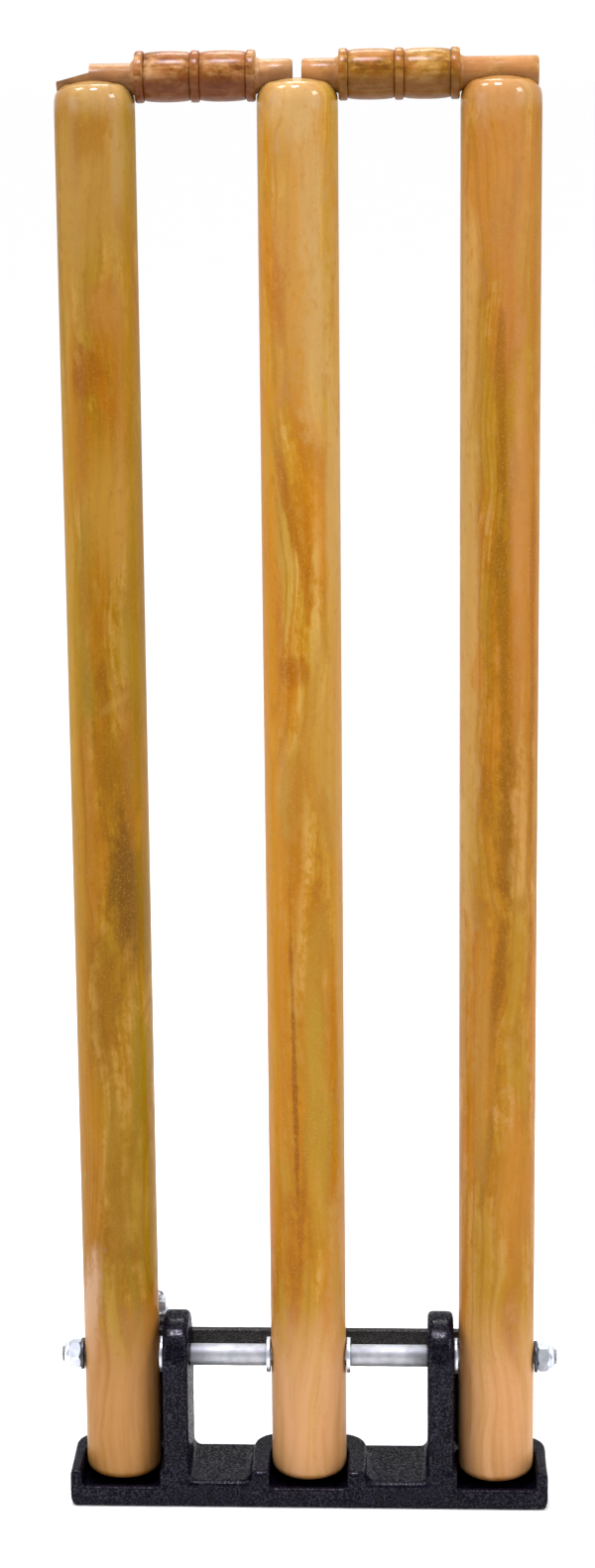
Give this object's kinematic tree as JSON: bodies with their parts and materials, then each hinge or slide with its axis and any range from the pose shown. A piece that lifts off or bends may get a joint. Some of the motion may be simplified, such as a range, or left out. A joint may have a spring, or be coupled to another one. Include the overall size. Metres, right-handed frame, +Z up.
{
  "type": "spring-back cricket stumps",
  "caption": "Wooden cricket wicket whose stumps pivot on an axle in a cast base and spring upright again, with loose turned bails across the crowns.",
  "frame": {"origin": "on the ground, at the middle of the base's underside, straight below the middle stump's axis", "axes": "+X along the wicket to the right of someone who faces its front, +Y away from them towards the springs, +Z up"},
  "size_m": [0.2522, 0.0748, 0.7235],
  "materials": {
    "cast_iron": "textured gloss black paint over sand-cast iron",
    "stump_wood": "clear gloss varnish over pale straight-grained ash",
    "bail_wood": "varnished reddish-brown turned wood",
    "zinc_plate": "bright zinc plating",
    "spring_steel": "oiled spring steel wire",
    "dark_steel": "dull dark steel"
  },
  "bodies": {
    "base": {"base_casting": "cast_iron", "stop_bar": "cast_iron", "bar_bolt_left": "dark_steel", "bar_bolt_right": "dark_steel", "axle_rod": "zinc_plate", "axle_nut_left": "zinc_plate", "axle_nut_right": "zinc_plate", "nut_washer_left": "dark_steel", "nut_washer_right": "dark_steel", "ear_washer_left": "zinc_plate", "ear_washer_right": "zinc_plate", "centre_washer_left": "zinc_plate", "centre_washer_right": "zinc_plate", "spacer_tube_left": "zinc_plate", "spacer_tube_right": "zinc_plate", "eye_bolt_left": "zinc_plate", "eye_bolt_middle": "zinc_plate", "eye_bolt_right": "zinc_plate", "adjuster_washer_left": "zinc_plate", "adjuster_washer_middle": "zinc_plate", "adjuster_washer_right": "zinc_plate", "adjuster_nut_left": "zinc_plate", "adjuster_nut_middle": "zinc_plate", "adjuster_nut_right": "zinc_plate", "return_spring_left": "spring_steel", "return_spring_middle": "spring_steel", "return_spring_right": "spring_steel"},
    "left_stump": {"stump_left": "stump_wood", "screw_eye_left": "zinc_plate"},
    "middle_stump": {"stump_middle": "stump_wood", "screw_eye_middle": "zinc_plate"},
    "right_stump": {"stump_right": "stump_wood", "screw_eye_right": "zinc_plate"},
    "left_bail": {"bail_left": "bail_wood"},
    "right_bail": {"bail_right": "bail_wood"}
  },
  "joints": [
    {"name": "left_stump_pivot", "type": "hinge", "parent": "base", "child": "left_stump", "pos_m": [-0.09525, 0, 0.0733], "axis": [-1, 0, 0], "range_deg": [0, 40], "stiffness_Nm_per_rad": 6, "springref_deg": -28.65, "deforming": ["return_spring_left"]},
    {"name": "middle_stump_pivot", "type": "hinge", "parent": "base", "child": "middle_stump", "pos_m": [0, 0, 0.0733], "axis": [-1, 0, 0], "range_deg": [0, 40], "stiffness_Nm_per_rad": 6, "springref_deg": -28.65, "deforming": ["return_spring_middle"]},
    {"name": "right_stump_pivot", "type": "hinge", "parent": "base", "child": "right_stump", "pos_m": [0.09525, 0, 0.0733], "axis": [-1, 0, 0], "range_deg": [0, 40], "stiffness_Nm_per_rad": 6, "springref_deg": -28.65, "deforming": ["return_spring_right"]},
    {"name": "left_bail_lift", "type": "slide", "parent": "middle_stump", "child": "left_bail", "axis": [0, 0, 1], "range_m": [0, 0.04]},
    {"name": "right_bail_lift", "type": "slide", "parent": "middle_stump", "child": "right_bail", "axis": [0, 0, 1], "range_m": [0, 0.04]}
  ]
}
